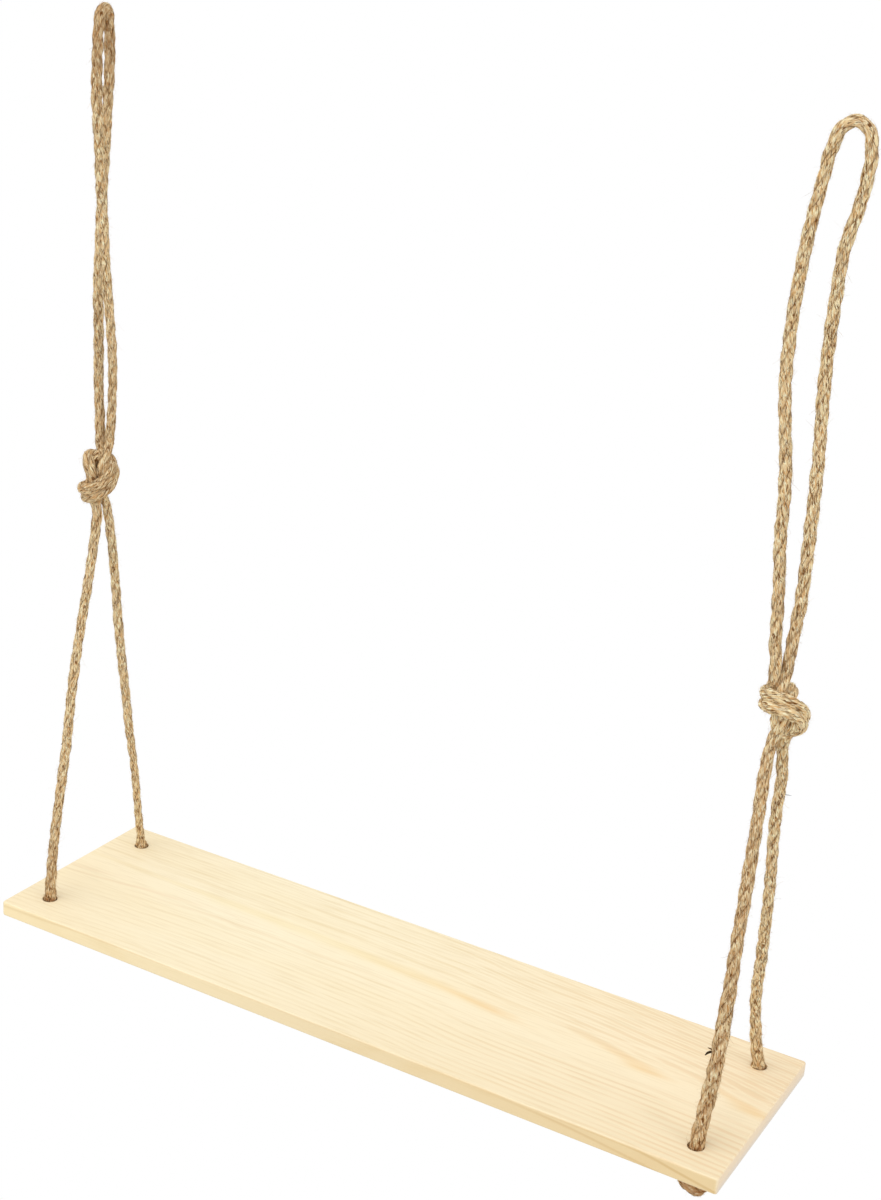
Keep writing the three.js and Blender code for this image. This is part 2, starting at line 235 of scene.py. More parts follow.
def smooth_route(points, step):
    """A centripetal Catmull-Rom curve through the points, and the curve's length at each of them."""
    points = np.array(points, float)
    padded = np.vstack([2 * points[0] - points[1], points, 2 * points[-1] - points[-2]])
    pieces, counts = [], []
    for a, b, c, d in zip(padded, padded[1:], padded[2:], padded[3:]):
        k0, k1, k2 = (max(np.linalg.norm(q - p), 1e-6) ** 0.5 for p, q in ((a, b), (b, c), (c, d)))
        start = ((b - a) / k0 - (c - a) / (k0 + k1) + (c - b) / k1) * k1
        stop = ((c - b) / k1 - (d - b) / (k1 + k2) + (d - c) / k2) * k1
        count = max(2, int(np.ceil(np.linalg.norm(c - b) / step * 2)))
        t = np.arange(count)[:, None] / count
        pieces.append(b + start * t + (3 * (c - b) - 2 * start - stop) * t ** 2
                      + (2 * (b - c) + start + stop) * t ** 3)
        counts.append(count)
    line = np.vstack(pieces + [points[-1:]])
    lengths = np.concatenate([[0], np.cumsum(np.linalg.norm(np.diff(line, axis=0), axis=1))])
    at_points = lengths[np.concatenate([[0], np.cumsum(counts)])]
    return line, lengths, at_points


def resample(line, lengths, stops):
    """The line's points at some lengths along it."""
    return np.stack([np.interp(stops, lengths, line[:, axis]) for axis in range(3)], axis=1)


def knot_points(knot, strand):
    """One strand of an overhand knot: down the core, round the outside on its way up, and down again."""
    mid, reach = (knot["wrap"] + knot["core"]) / 2, (knot["wrap"] - knot["core"]) / 2
    lean = (Matrix.Rotation(math.radians(knot["lean"][0]), 3, "X")
            @ Matrix.Rotation(math.radians(knot["lean"][1]), 3, "Y"))

    def place(t):
        way = 4 * t if t < 0.25 else 2 * t + 0.5 if t < 0.75 else 4 * t - 1
        roll = math.pi * (way - 0.5)
        angle = knot["handed"] * 2 * math.pi * (2 * t + knot["turn"])
        radius = mid - reach * math.cos(roll)
        point = Vector((radius * math.cos(angle), radius * math.sin(angle),
                        -knot["height"] * math.sin(roll)))
        outward = Vector((-math.cos(roll) * math.cos(angle) / reach,
                          -math.cos(roll) * math.sin(angle) / reach,
                          -math.sin(roll) / knot["height"])).normalized()
        return point, outward

    points = []
    for step in range(knot["steps"] + 1):
        t = knot["trim"] + (1 - 2 * knot["trim"]) * step / knot["steps"]
        point, outward = place(t)
        along = place(t + 0.5 / knot["steps"])[0] - place(t - 0.5 / knot["steps"])[0]
        aside = along.normalized().cross(outward) * strand * knot["pair"]
        points.append(lean @ ((point + aside) * ROPE_DIAMETER))
    return points


def leg_points(rope, which, side):
    """A leg from its knot down into its hole."""
    start = Vector(rope[which + "_exit"]) + Vector((rope["x"], 0, rope["knot_height"]))
    end = Vector((rope["x"], side * HOLE_Y, -LEG_DEPTH))
    bows = [start.lerp(end, share) + Vector((dx, dy, 0)) for share, dx, dy in rope[which + "_bows"]]
    return [start] + bows + [end]


def stopper_points(rope, which, side):
    """A stopper knot from inside its hole down to the end of its tail."""
    stopper = rope[which + "_stopper"]
    half = (stopper["height"] + 0.5) * ROPE_DIAMETER
    aside = Vector((stopper["aside"][0], stopper["aside"][1], 0))
    centre = Vector((rope["x"], side * HOLE_Y, -BOARD_THICKNESS - TOUCH_GAP - half)) + aside
    knot = {**STOPPER_KNOT, **stopper, "handed": rope["knot"]["handed"]}
    top = BOARD_THICKNESS - LEG_DEPTH - END_GAP
    way = math.radians(stopper["tail_way"])
    tail = Vector((math.cos(way), math.sin(way), 0)) * TAIL_LENGTH
    level = Vector((0, 0, ROPE_RADIUS - half))
    points = [Vector((0, 0, half + TOUCH_GAP + share * top)) - aside for share in (1, 0.6, 0.2)]
    points += knot_points(knot, 0)
    points += [tail * share + level for share in (0.3, 0.65, 1)]
    return [centre + point for point in points]


def whole_rope(rope):
    """The rope from one cut end to the other, with the length at which each of its parts begins."""
    centre = Vector((rope["x"], 0, rope["knot_height"]))
    knot = {**MAIN_KNOT, **rope["knot"]}
    knot_centre = centre + Vector(knot["aside"])
    in_knot = [[knot_centre + point for point in knot_points(knot, strand)] for strand in (-1, 1)]
    parts = [
        ("front_stopper", stopper_points(rope, "front", -1)[::-1]),
        ("front_leg", leg_points(rope, "front", -1)[::-1]),
        ("front_knot", in_knot[0][::-1]),
        ("loop", [centre + Vector(point) for point in rope["loop"]]),
        ("back_knot", in_knot[1]),
        ("back_leg", leg_points(rope, "back", 1)),
        ("back_stopper", stopper_points(rope, "back", 1)),
    ]
    points, spans, first = [], {}, 0
    for name, part in parts:
        spans[name] = (first, first + len(part) - 1)
        points += [(p.x, p.y, p.z - HOOK_LINE) for p in part]
        first += len(part)
    line, lengths, at_points = smooth_route(points, STEP)
    return line, lengths, {name: (at_points[a], at_points[b]) for name, (a, b) in spans.items()}


def ease(line):
    """The line with its sharpest turns let out, as a rope's own stiffness does."""
    weights = np.exp(-0.5 * (np.arange(-EASE_REACH, EASE_REACH + 1) / EASE_SPREAD) ** 2)
    weights /= weights.sum()
    before = 2 * line[0] - line[EASE_REACH:0:-1]
    beyond = 2 * line[-1] - line[-2:-EASE_REACH - 2:-1]
    padded = np.vstack([before, line, beyond])
    return np.stack([np.convolve(padded[:, axis], weights, "valid") for axis in range(3)], axis=1)


class RopeLine:
    """Even stops along a rope, with cross directions that don't twist about the route."""

    def __init__(self, rope):
        line, lengths, self.spans = whole_rope(rope)
        self.stops = np.linspace(0, lengths[-1], int(lengths[-1] / STEP) + 1)
        self.points = ease(resample(line, lengths, self.stops))
        self.tangents = unit(np.gradient(self.points, axis=0))
        normal = np.cross(self.tangents[0], (0.3, 0.2, 0.9))
        normals = []
        for tangent in self.tangents:
            normal = unit(normal - tangent * np.dot(normal, tangent))
            normals.append(normal)
        self.normals = np.array(normals)
        self.binormals = np.cross(self.tangents, self.normals)
        girth, brown = self.spread(rope["girth"], 1.0), self.spread(rope["brown"], 0.0)
        self.girth = girth + (HOLE_GIRTH - girth) * self.near_holes(SPREAD_REACH)
        # The holes' mouths get painted shade, added to the rope's darkening
        self.brown = brown + HOLE_MOUTH_SHADE * self.near_holes(MOUTH_SHADE_REACH)

    def spread(self, table, usual):
        """A value at every stop, from the values that a table gives along each part."""
        marks, values = [], []
        for part, (start, stop) in self.spans.items():
            given = table.get(part, (usual, usual))
            marks += np.linspace(start + 1, stop - 1, len(given)).tolist()
            values += given
        return np.interp(self.stops, marks, values)

    def near_holes(self, reach):
        """At every stop, 1 at the mouths of the rope's two holes, and 0 well away from them."""
        mouths = (self.spans["front_leg"][0] + LEG_DEPTH, self.spans["back_leg"][1] - LEG_DEPTH)
        return sum(np.exp(-((self.stops - mouth) / reach) ** 2) for mouth in mouths)


# The rope's skin

def cell_noise(across, along, seed):
    """Smooth noise between -1 and 1 over square cells."""
    cells = 256
    table = np.random.default_rng(seed).uniform(-1, 1, (cells, cells))
    row, column = np.floor(across).astype(int), np.floor(along).astype(int)
    a, b = (share * share * (3 - 2 * share) for share in (across - row, along - column))
    row, column = row % cells, column % cells
    after, beyond = (row + 1) % cells, (column + 1) % cells
    near = table[row, column] * (1 - a) + table[after, column] * a
    far = table[row, beyond] * (1 - a) + table[after, beyond] * a
    return near * (1 - b) + far * b


class RopeSkin:
    """The outside of a laid rope, by a stop along it, a strand and an angle round that strand."""

    def __init__(self, line, seed):
        self.line, self.seed = line, seed

    def yarn(self, stop, theta):
        """The angle round the strand's yarns, which run back against the strand's own turn."""
        return theta + YARN_TWIST * stop

    def across(self, stop, strand, theta):
        """The way across the yarns, with the strands far apart so that each has its own noise."""
        return self.yarn(stop, theta) * STRAND_RADIUS + STRANDS_APART * strand

    def relief(self, stop, strand, theta):
        """How far the surface stands off the strand's plain round, and how deep between yarns it is."""
        sway = YARN_SWAY * cell_noise(strand * 9.0 + theta * 0.8, stop / SWAY_CELL, self.seed + 1)
        lobe = np.abs(np.sin((YARNS * self.yarn(stop, theta) + sway) / 2 + 2.1 * strand))
        across = self.across(stop, strand, theta)
        lump = LUMP * cell_noise(across / LUMP_WIDTH, stop / LUMP_CELL, self.seed + 2)
        fine = FINE * cell_noise(across / FINE_WIDTH, stop / FINE_CELL, self.seed + 3)
        edge = 1 - (np.abs(theta) / SEAM) ** 4
        return (YARN_RELIEF * (lobe - MEAN_LOBE) + lump + fine) * np.clip(edge, 0, 1), 1 - lobe

    def place(self, stop, strand, theta, lift=0.0):
        """Points at a height over the skin, for arrays of stops, strands and angles."""
        line = self.line
        row = np.clip(stop / line.stops[1], 0, len(line.stops) - 1.001)
        low = row.astype(int)
        share = (row - low)[..., None]
        middle, normal, binormal = (a[low] * (1 - share) + a[low + 1] * share
                                    for a in (line.points, line.normals, line.binormals))
        level = np.full_like(stop, 0.5)
        wander = WANDER * cell_noise(stop / WANDER_CELL, level, self.seed + 4)
        angle = 2 * np.pi * (stop / LAY + strand / STRANDS) + wander
        size = 1 + STRAND_SWELL * cell_noise(stop / STRAND_CELL, strand * 5.0 + level, self.seed + 5)
        size += ROPE_SWELL * cell_noise(stop / ROPE_CELL, level, self.seed + 6)
        size *= np.interp(stop, line.stops, line.girth)
        cos, sin = np.cos(angle)[..., None], np.sin(angle)[..., None]
        radial, sideways = cos * normal + sin * binormal, cos * binormal - sin * normal
        outward = np.cos(theta)[..., None] * radial + np.sin(theta)[..., None] * sideways
        height = (STRAND_RADIUS + self.relief(stop, strand, theta)[0] + lift) * size
        return middle + STRAND_OFFSET * radial * size[..., None] + height[..., None] * outward

    def rings(self):
        """The points round the rope at every stop, with each point's place along its fibre, and how
        near it is to the groove between strands and to the valley between yarns."""
        turns = SEAM * (2 * np.arange(ARC_POINTS) / ARC_POINTS - 1)
        stop, strand, theta = np.meshgrid(self.line.stops, np.arange(STRANDS), turns, indexing="ij")
        points = self.place(stop, strand, theta)
        last_strand = (strand[:, :, 0] - 1) % STRANDS
        seam = self.place(stop[:, :, 0], last_strand, np.full_like(theta[:, :, 0], SEAM))
        points[:, :, 0] = (points[:, :, 0] + seam) / 2
        groove = np.clip(2 * np.abs(theta) / SEAM - 1, 0, 1)
        valley = self.relief(stop, strand, theta)[1]
        fibre = np.stack([self.across(stop, strand, theta), stop], axis=-1)
        count = len(self.line.stops)
        return (points.reshape(count, -1, 3), fibre.reshape(count, -1, 2),
                groove.reshape(count, -1), valley.reshape(count, -1))


def around(centre, size, beside, over, turns):
    """Points at some turns round each centre, stacked in a new axis before the last."""
    points = [centre + size * (math.cos(turn) * beside + math.sin(turn) * over) for turn in turns]
    return np.stack(points, axis=-2)


def quads(rows):
    """The faces between neighbouring rings, from the numbers of the points in each."""
    after = np.roll(rows, -1, axis=-1)
    corners = (rows[..., :-1, :], after[..., :-1, :], after[..., 1:, :], rows[..., 1:, :])
    return np.stack(corners, axis=-1).reshape(-1, 4).tolist()


def make_mesh(name, points, faces, fibre=None, shades=()):
    """A smooth piece from points and faces, with its fibre places as a UV map and its shades by name."""
    mesh = bpy.data.meshes.new(name)
    mesh.from_pydata((points * MM).tolist(), [], faces)
    if fibre is not None:
        layer = mesh.uv_layers.new(name="fibre")
        index = np.empty(len(mesh.loops), dtype=np.int32)
        mesh.loops.foreach_get("vertex_index", index)
        layer.data.foreach_set("uv", fibre[index].astype(np.float32).ravel())
    for label, values in dict(shades).items():
        attribute = mesh.attributes.new(label, "FLOAT", "POINT")
        attribute.data.foreach_set("value", np.concatenate(values).astype(np.float32))
    mesh.polygons.foreach_set("use_smooth", np.ones(len(mesh.polygons), dtype=bool))
    mesh.update()
    piece = bpy.data.objects.new(name, mesh)
    bpy.context.scene.collection.objects.link(piece)
    return piece


def rope_mesh(name, line, rings, runs):
    """One or more runs of the rope as one mesh. A run is (start, stop, tuck_start, tuck_stop). Over
    the tucked lengths at its ends the rope is thinner, so that it hides in what it runs into."""
    points, fibre, groove, valley = rings
    made, places, grooves, valleys, browns, faces, base = [], [], [], [], [], [], 0
    for start, stop, tuck_start, tuck_stop in runs:
        inside = np.where((line.stops >= start) & (line.stops <= stop))[0]
        stops = line.stops[inside]
        tuck = np.clip((start + tuck_start - stops) / TUCK_FADE, 0, 1) * (tuck_start > 0)
        tuck += np.clip((stops - stop + tuck_stop) / TUCK_FADE, 0, 1) * (tuck_stop > 0)
        core = line.points[inside][:, None, :]
        skin = core + (points[inside] - core) * (1 - TUCK_THINNING * tuck)[:, None, None]
        rows, sides = skin.shape[:2]
        grid = base + np.arange(rows * sides).reshape(rows, sides)
        after = np.roll(grid, -1, axis=1)
        faces += quads(grid)
        first, last = base + rows * sides, base + rows * sides + 1
        faces += [(first, b, a) for a, b in zip(grid[0].tolist(), after[0].tolist())]
        faces += [(last, a, b) for a, b in zip(grid[-1].tolist(), after[-1].tolist())]
        bulge = CUT_END_ROUND * line.tangents[inside[[0, -1]]]
        ends = np.stack([core[0, 0] - bulge[0], core[-1, 0] + bulge[1]])
        made += [skin.reshape(-1, 3), ends]
        places += [fibre[inside].reshape(-1, 2), fibre[inside[[0, -1]], 0]]
        grooves += [groove[inside].ravel(), (0.5, 0.5)]
        valleys += [valley[inside].ravel(), (0.5, 0.5)]
        brown = line.brown[inside]
        browns += [np.repeat(brown, sides), brown[[0, -1]]]
        base += rows * sides + 2
    shades = {"groove": grooves, "valley": valleys, "brown": browns}
    return make_mesh(name, np.vstack(made), faces, np.vstack(places), shades)


# Finishes

def shader_sum(operation, turned=False):
    """A method that adds a Math node for a value and another, the other way round if turned."""
    def method(self, other=0):
        sides = (other, self) if turned else (self, other)
        return self.finish.node("ShaderNodeMath", {"operation": operation}, enumerate(sides))

    return method


class Value:
    """One output of a node. A sum written with it adds its own Math node."""

    def __init__(self, finish, socket):
        self.finish, self.socket = finish, socket

    __add__ = __radd__ = shader_sum("ADD")
    __sub__, __rsub__ = shader_sum("SUBTRACT"), shader_sum("SUBTRACT", turned=True)
    __mul__ = __rmul__ = shader_sum("MULTIPLY")
    __truediv__, __rtruediv__ = shader_sum("DIVIDE"), shader_sum("DIVIDE", turned=True)
    __pow__, __rpow__ = shader_sum("POWER"), shader_sum("POWER", turned=True)
    __abs__, past_whole, at_most = shader_sum("ABSOLUTE"), shader_sum("FRACT"), shader_sum("MINIMUM")


class Finish:
    """The nodes that make the look of one material, or of the world."""

    def __init__(self, owner, shader="Principled BSDF"):
        owner.use_nodes = True
        self.owner, self.tree = owner, owner.node_tree
        self.shader = self.tree.nodes[shader]

    def put(self, socket, value):
        if isinstance(value, Value):
            self.tree.links.new(value.socket, socket)
        else:
            socket.default_value = value

    def node(self, kind, settings=(), sockets=(), out=0):
        """A node of a type, with its settings and then the values or links of its sockets."""
        made = self.tree.nodes.new(kind)
        for name, value in dict(settings).items():
            if name == "handles":
                curve = made.mapping.curves[0]
                for place in value[2:]:
                    curve.points.new(*place)
                for point, place in zip(curve.points, sorted(value)):
                    point.location = place
                made.mapping.update()
            else:
                setattr(made, name, value)
        for name, value in dict(sockets).items():
            self.put(made.inputs[name], value)
        return Value(self, made.outputs[out])

    def surface(self, **sockets):
        """Sets or links the main shader's sockets."""
        for name, value in sockets.items():
            self.put(self.shader.inputs[name.replace("_", " ")], value)
        return self.owner

    def ramp(self, value, low, high, out_low=0.0, out_high=1.0, smooth=False):
        """A value carried from one range to another, and held at its ends."""
        settings = {"interpolation_type": "SMOOTHSTEP" if smooth else "LINEAR"}
        return self.node("ShaderNodeMapRange", settings,
                         {0: value, 1: low, 2: high, 3: out_low, 4: out_high})

    def curve(self, value, points):
        """A smooth curve through (value, result) points."""
        low, high = points[0][0], points[-1][0]
        least, most = min(p[1] for p in points), max(p[1] for p in points)
        handles = [((x - low) / (high - low), (y - least) / (most - least)) for x, y in points]
        handles = [handles[0], handles[-1]] + handles[1:-1]
        share = self.node("ShaderNodeFloatCurve", {"handles": handles},
                          {"Value": (value - low) / (high - low)})
        return share * (most - least) + least

    def mix(self, share, first, second):
        """One colour over another. The Mix node's colours go in at 6 and 7 and come out at 2."""
        return self.node("ShaderNodeMix", {"data_type": "RGBA"}, {0: share, 6: first, 7: second}, out=2)

    def coats(self, tint, *coats):
        """A colour with others over it, each as its share and its 0 to 255 values or its link."""
        for share, top in coats:
            tint = self.mix(share, tint, top if isinstance(top, Value) else colour(*top))
        return tint

    def noise(self, place, stretch, detail=2.0, rough=0.5):
        """Noise with so many cells for each unit of the place, across each of its axes."""
        sockets = {"Vector": self.node("ShaderNodeMapping", (), {"Vector": place, "Scale": stretch}),
                   "Scale": 1.0, "Detail": detail, "Roughness": rough}
        return self.node("ShaderNodeTexNoise", (), sockets)

    def drawn_out(self, place, along, across, detail=2.0):
        """Noise with other cells along X than across it, as wood has them."""
        return self.noise(place, (along, across, across), detail)

    def attribute(self, name):
        return self.node("ShaderNodeAttribute", {"attribute_name": name}, out="Fac")

    def bump(self, height, distance, strength):
        sockets = {"Strength": strength, "Distance": distance, "Height": height}
        return self.node("ShaderNodeBump", (), sockets)


def colour(red, green, blue):
    """A linear colour from the 0 to 255 values seen on screen."""
    return tuple((v / 255 / 12.92 if v <= 10 else ((v / 255 + 0.055) / 1.055) ** 2.4)
                 for v in (red, green, blue)) + (1.0,)


def jute_finish():
    """Straw-coloured jute with pale and dark fibres along its yarns, darker in its grooves and between its
    yarns as painted shade, and browned or bleached as the rope's tables say, which also carry painted
    shade at the holes' mouths and the left loop's top."""
    jute = Finish(bpy.data.materials.new("jute"))
    fibre = jute.node("ShaderNodeUVMap", {"uv_map": "fibre"})
    place = jute.node("ShaderNodeTexCoord", out="Object")
    groove, valley, brown = jute.attribute("groove"), jute.attribute("valley"), jute.attribute("brown")
    streak = jute.noise(fibre, (1.6, 0.22, 1), 4, 0.65)
    pale = jute.noise(fibre, (1.7, 0.30, 3), 2, 0.6)
    dark = jute.noise(fibre, (1.35, 0.27, 5), 2, 0.6)
    broken = jute.noise(fibre, (0.5, 0.22, 7), 1, 0.5)
    patch = jute.noise(place, (90, 90, 90), 2)
    tint = jute.mix(jute.ramp(streak, 0.38, 0.62), colour(206, 152, 88), colour(255, 243, 198))
    # Painted shade: the valleys between yarns and the grooves between strands are darkened in colour
    valley_painted_shade = jute.ramp(valley, 0.45, 1, 0, 0.5) * jute.ramp(broken, 0.35, 0.6)
    groove_painted_shade = jute.ramp(groove, 0.1, 1, 0, 0.8) * jute.ramp(broken, 0.35, 0.6, 0.1, 1)
    tint = jute.coats(
        tint,
        (jute.ramp(patch, 0.35, 0.70, 0, 0.35), (242, 200, 148)),
        (brown * jute.ramp(broken, 0.3, 0.6, 0.3, 0.75), (150, 92, 50)),
        (jute.ramp(pale, 0.53, 0.62, 0, 0.9) * (1 - brown * 0.75), (255, 250, 216)),
        (valley_painted_shade, (138, 86, 32)),
        (groove_painted_shade, (126, 78, 28)),
        (jute.ramp(dark, 0.565, 0.615, 0, 0.95), (112, 66, 20)),
    )
    return jute.surface(Base_Color=tint, Roughness=0.85, Specular_IOR_Level=0.08,
                        Normal=jute.bump(streak, 0.0003, 1.0))


def fibre_finish():
    """Tone runs from brown at 0 to pale at 1, tan at 2 and grey at 3, and to nearly black at -1."""
    fibre = Finish(bpy.data.materials.new("loose_fibre"))
    tone = fibre.attribute("tone")
    tint = fibre.mix(fibre.ramp(tone, 0.5, 1), colour(206, 172, 124), colour(252, 236, 202))
    tint = fibre.coats(
        tint,
        (fibre.ramp(tone, 0.5, 0), (118, 76, 32)),
        (fibre.ramp(tone, 1, 2), (192, 146, 82)),
        (fibre.ramp(tone, 2, 3), (150, 156, 160)),
        (fibre.ramp(tone, -0.5, -1), (58, 44, 26)),
    )
    return fibre.surface(Base_Color=tint, Roughness=0.75, Specular_IOR_Level=0.1)


JUTE, FIBRE = jute_finish(), fibre_finish()


# Loose fibres: how many there are for each mm of rope, and their sizes

FUZZ_DENSITY, LAID_DENSITY, STANDING_DENSITY = 16.0, 6.0, 0.7
FUZZ_REACH, FUZZ_LEAN, FUZZ_THICKNESS = (0.25, 2.0), 1.6, (0.02, 0.045)
STANDING_LENGTH, STANDING_THICKNESS = (0.8, 7.5), (0.025, 0.05)
LAID_LENGTH, LAID_THICKNESS = (1.5, 5.5), (0.05, 0.18)
FIBRE_TAPER = np.array([0.7, 1.0, 0.85, 0.3])
SPIKE_TURNS = [2 * math.pi * corner / 3 + math.pi / 2 for corner in range(3)]
ASKEW = (0.3, 0.5, 0.81)


def fuzz_spikes(skin, runs, local):
    """The down of short fibres all over the rope: a thin spike each."""
    start = np.concatenate([local.uniform(a, b, int((b - a) * FUZZ_DENSITY)) for a, b in runs])
    count = len(start)
    strand = local.integers(0, STRANDS, count)
    theta = local.uniform(-0.8 * SEAM, 0.8 * SEAM, count)
    reach = np.clip(local.gamma(2.5, 0.3, count), *FUZZ_REACH)
    lean = local.uniform(-FUZZ_LEAN, FUZZ_LEAN, count) * reach
    foot = skin.place(start, strand, theta, -0.05)
    tip = skin.place(start + lean, strand, theta + local.normal(0, 0.25, count), reach)
    beside = unit(np.cross(tip - foot, ASKEW))
    over = unit(np.cross(tip - foot, beside))
    thick = local.uniform(*FUZZ_THICKNESS, count)[:, None]
    corners = around(foot, thick, beside, over, SPIKE_TURNS)
    points = np.concatenate([corners, tip[:, None]], axis=1).reshape(-1, 3)
    sides = np.array([(0, 1, 2), (0, 3, 1), (1, 3, 2), (2, 3, 0)])[:, None]
    faces = (sides + 4 * np.arange(count)[:, None]).reshape(-1, 3)
    tan = local.random(count) < 0.6
    tone = np.where(tan, local.uniform(1.5, 2.0, count), local.uniform(0.2, 1.0, count))
    return points, faces.tolist(), np.repeat(tone, 4)


def bent_fibre(tone, thick, points):
    """One loose fibre along a bent way, thickest in its middle and closed at both ends."""
    line, lengths, _ = smooth_route([(x, y, z - HOOK_LINE) for x, y, z in points], 0.5)
    along = unit(np.gradient(line, axis=0))
    beside = unit(np.cross(along, ASKEW))
    over = np.cross(along, beside)
    size = thick * (0.35 + 0.65 * np.sin(np.pi * lengths / lengths[-1]))[:, None]
    sides = 6
    points = around(line, size, beside, over, 2 * math.pi * np.arange(sides) / sides).reshape(-1, 3)
    rows = np.arange(len(points)).reshape(-1, sides)
    faces = quads(rows) + [rows[0, ::-1].tolist(), rows[-1].tolist()]
    return points, faces, np.full(len(points), tone)


def yarn_fibres(skin, runs, local):
    """Longer fibres on the rope: most laid flat along its yarns and some standing off."""
    starts, stands = [], []
    for start, stop in runs:
        for density, stand in ((LAID_DENSITY, False), (STANDING_DENSITY, True)):
            count = int((stop - start) * density)
            starts.append(local.uniform(start, stop, count))
            stands.append(np.full(count, stand))
    start, stand = np.concatenate(starts), np.concatenate(stands)
    count = len(start)
    strand = local.integers(0, STRANDS, count)
    theta = np.clip(local.normal(0, 0.75, count), -1.35, 1.35)
    way = np.where(local.random(count) < 0.5, -1, 1)
    long = np.clip(local.gamma(2.2, 1.1, count) + STANDING_LENGTH[0], *STANDING_LENGTH)
    length = np.where(stand, long, local.uniform(*LAID_LENGTH, count))
    rise = np.where(stand, local.uniform(0.15, 1.0, count), local.uniform(0.0, 0.06, count))
    cross = np.where(stand, local.normal(0, 0.35, count), local.normal(0, 0.20, count))
    fine = local.uniform(*STANDING_THICKNESS, count)
    thick = np.where(stand, fine, local.uniform(*LAID_THICKNESS, count))
    tone = local.normal(0.6, 0.2, count)
    dark = local.random(count) < 0.35
    tone = np.where(stand, tone, np.where(dark, 0.05, local.normal(0.8, 0.25, count)))
    # The rope's darkening, with the painted shade at the holes' mouths, darkens its fibres too
    tone = np.clip(tone, 0, 1) * (1 - 0.6 * np.interp(start, skin.line.stops, skin.line.brown))

    rings = len(FIBRE_TAPER)
    share = np.linspace(0, 1, rings)[None, :]
    reach = (way * length)[:, None] * share
    stop = start[:, None] + reach
    turn = theta[:, None] + reach * (cross[:, None] - YARN_TWIST)
    turn = np.where(stand[:, None], turn, np.clip(turn, -1.5, 1.5))
    lift = (length * rise)[:, None] * share ** 1.5 + np.where(stand, -0.03, 0.05)[:, None]
    own = np.repeat(strand[:, None], rings, axis=1)
    centre = skin.place(stop, own, turn, lift)
    outward = skin.place(stop, own, turn, lift + 1.0) - centre
    along = unit(np.gradient(centre, axis=1))
    beside = unit(np.cross(along, outward))
    over = np.cross(beside, along) * np.where(stand, 1.0, 0.5)[:, None, None]
    size = (thick[:, None] * FIBRE_TAPER)[..., None]
    points = around(centre, size, beside, over, SPIKE_TURNS).reshape(-1, 3)
    index = np.arange(len(points)).reshape(count, rings, 3)
    faces = quads(index) + index[:, 0, ::-1].tolist() + index[:, -1].tolist()
    return points, faces, np.repeat(tone, rings * 3)


def fibre_mesh(name, skin, runs, seed, bent):
    """All the loose fibres along some runs of the rope, with its strays, as one mesh."""
    local = np.random.default_rng(seed)
    blocks = [yarn_fibres(skin, runs, local), fuzz_spikes(skin, runs, local)]
    blocks += [bent_fibre(*stray) for stray in bent]
    faces, base = [], 0
    for points, block_faces, _ in blocks:
        faces += [[corner + base for corner in face] for face in block_faces]
        base += len(points)
    points, _, tones = zip(*blocks)
    return make_mesh(name, np.vstack(points), faces, shades={"tone": tones})


# The two ropes

def add_rope(rope, seed):
    """A whole rope: its loop, main knot, two legs and two stopper knots, each with its fibres."""
    name, reach = rope["name"], rope["leg_reach"]
    line = RopeLine(rope)
    skin = RopeSkin(line, seed)
    rings = skin.rings()
    spans = line.spans

    def carry(piece, body):
        """Rides on its body; the loops and the left rope's legs are only baked in place, on no body."""
        if body == "loops":
            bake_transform(piece)
        elif body == "left_legs":
            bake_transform(piece)
        else:
            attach(piece, body)

    def add_part(part, runs, body):
        piece = rope_mesh(f"{name}_{part}_rope", line, rings, runs)
        piece.data.materials.append(JUTE)
        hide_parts(f"{name}_{part}")
        open_runs = [(start + tuck_start, stop - tuck_stop) for start, stop, tuck_start, tuck_stop in runs]
        bent = [stray[1:] for stray in rope["strays"] if stray[0] == part]
        fibres = fibre_mesh(f"{name}_{part}_fibres", skin, open_runs, seed + len(part) * 7, bent)
        fibres.data.materials.append(FIBRE)
        for made in (piece, fibres):
            carry(made, body)

    start, stop = spans["loop"]
    add_part("loop", [(start - TUCK, stop + TUCK, TUCK, TUCK)], "loops")
    front_top, back_top = spans["front_leg"][1] + reach, spans["back_leg"][0] - reach
    run = (spans["front_leg"][0] - HOLE_TUCK, front_top + TUCK, HOLE_TUCK, TUCK)
    add_part("front_leg", [run], name + "_legs")
    run = (back_top - TUCK, spans["back_leg"][1] + HOLE_TUCK, TUCK, HOLE_TUCK)
    add_part("back_leg", [run], name + "_legs")
    for which in ("front", "back"):
        add_part(which + "_stopper", [(*spans[which + "_stopper"], 0, 0)], "board")
    runs = [(front_top, spans["loop"][0], 0, 0), (spans["loop"][1], back_top, 0, 0)]
    add_part("main_knot", runs, "knots")


add_rope(LEFT_ROPE, 100)
add_rope(RIGHT_ROPE, 500)


# Board

CORNER_STEPS, EDGE_STEPS, DRILL_SIDES = 6, 5, 48
HOLE_RIM = 0.35


def is_upright(edge, first, second):
    return abs(first.z) < 0.1 and abs(second.z) < 0.1 and first.dot(second) < 0.1


def is_outer_rim(edge, first, second):
    middle = (edge.verts[0].co + edge.verts[1].co) / (2 * MM)
    past = max(abs(middle.x) - BOARD_LENGTH / 2, abs(middle.y) - BOARD_WIDTH / 2)
    return past > -CORNER_RADIUS and abs(abs(first.z) - abs(second.z)) > 0.9


